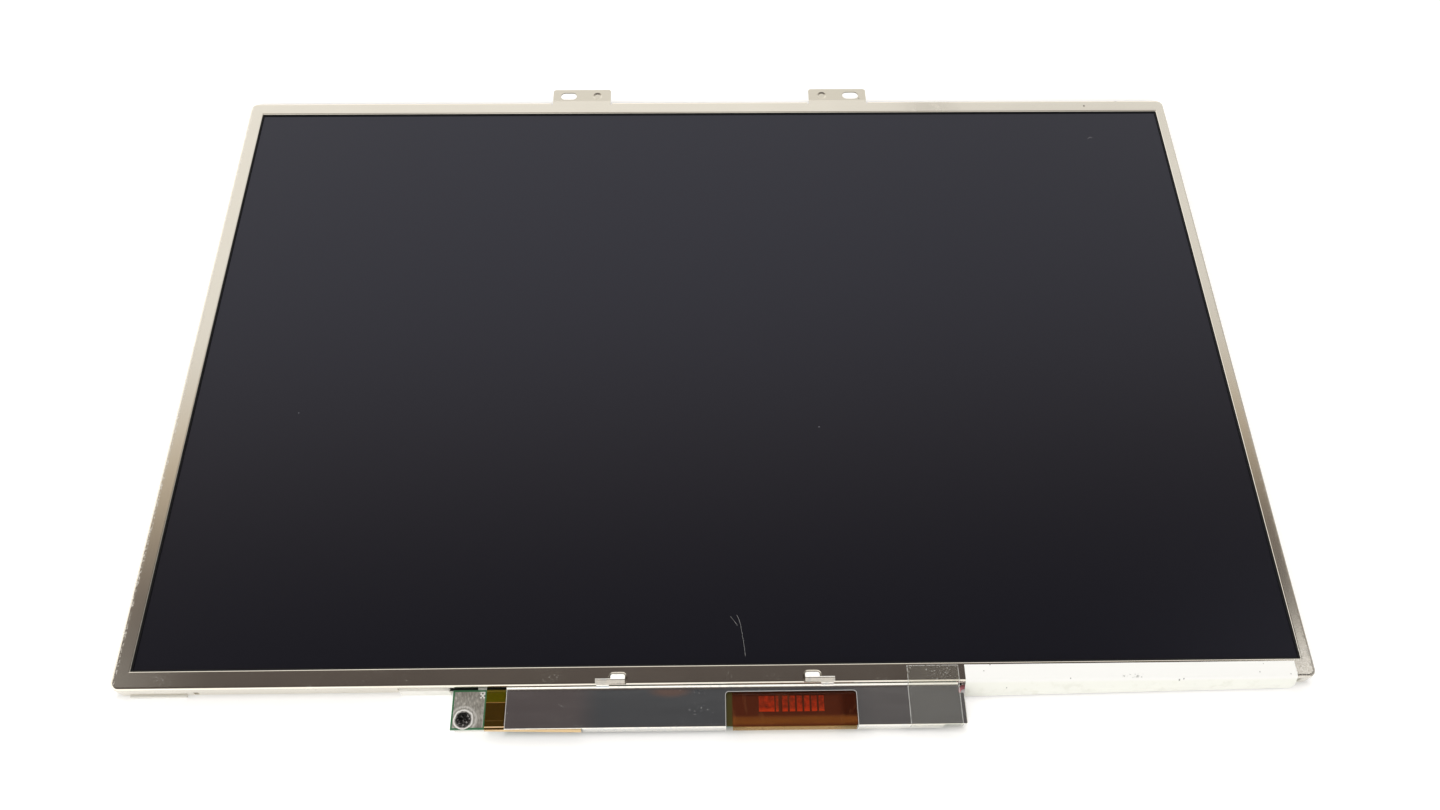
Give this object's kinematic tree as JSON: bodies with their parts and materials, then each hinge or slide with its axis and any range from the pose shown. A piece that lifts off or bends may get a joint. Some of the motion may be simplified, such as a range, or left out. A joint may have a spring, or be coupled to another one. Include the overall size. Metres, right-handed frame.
{
  "type": "laptop screen panel",
  "caption": "Flat lamp-lit laptop screen module: dark screen in a thin steel bezel, tabs on its upper edge, shielded driver board and white tape on its lower edge.",
  "frame": {"origin": "middle of the module's outline, on the rear plane that it lies on", "axes": "+X along the long side, to the right seen from the front; +Y towards the fixing tabs; +Z out of the screen"},
  "size_m": [0.344, 0.2407, 0.0071],
  "materials": {
    "bezel_steel": "satin, lightly scuffed",
    "gasket_black": "matt",
    "screen_face": "anti-glare, fine-grained",
    "cell_glass": "clear",
    "chip_black": "matt",
    "light_film": "translucent",
    "guide_acrylic": "clear",
    "reflector_white": "matt",
    "lamp_glass": "frosted inside",
    "lamp_channel_metal": "satin",
    "holder_rubber": "matt",
    "frame_white": "moulded, matt",
    "lead_pink": "smooth",
    "lead_white": "smooth",
    "plug_white": "moulded",
    "board_green": "solder mask",
    "pad_tin": "tinned, scratched",
    "screw_black": "blackened",
    "land_metal": "plated",
    "flex_amber": "smooth film",
    "film_amber": "smooth film",
    "shield_steel": "rolled sheet, scuffed",
    "inductor_ferrite": "matt",
    "capacitor_ceramic": "matt",
    "connector_cream": "moulded",
    "pin_gold": "plated",
    "tape_clear": "clear, dusty",
    "tape_white": "smooth film, creased",
    "tape_black": "matt film"
  },
  "bodies": {
    "root": {"front_bezel": "bezel_steel", "window_gasket": "gasket_black", "front_polariser": "screen_face", "colour_filter_glass": "cell_glass", "array_glass": "cell_glass", "rear_polariser": "screen_face", "source_driver_chips": "chip_black", "gate_driver_chips": "chip_black", "upper_diffuser": "light_film", "upper_prism_sheet": "light_film", "lower_prism_sheet": "light_film", "lower_diffuser": "light_film", "light_guide": "guide_acrylic", "reflector_sheet": "reflector_white", "lamp_tube": "lamp_glass", "lamp_reflector": "lamp_channel_metal", "lamp_holder_left": "holder_rubber", "lamp_holder_right": "holder_rubber", "mould_frame": "frame_white", "hot_lead": "lead_pink", "return_lead": "lead_white", "lamp_plug": "plug_white", "driver_board": "board_green", "ground_pad": "pad_tin", "board_screw": "screw_black", "contact_lands": "land_metal", "flex_circuit_left": "flex_amber", "flex_circuit_right": "flex_amber", "insulating_film_left": "film_amber", "insulating_film_centre": "film_amber", "board_shield": "shield_steel", "timing_chip": "chip_black", "power_chip": "chip_black", "board_inductor": "inductor_ferrite", "board_capacitors": "capacitor_ceramic", "signal_connector": "connector_cream", "connector_pins": "pin_gold", "clear_tape": "tape_clear", "white_tape": "tape_white", "light_seal_tape": "tape_black"}
  },
  "joints": []
}
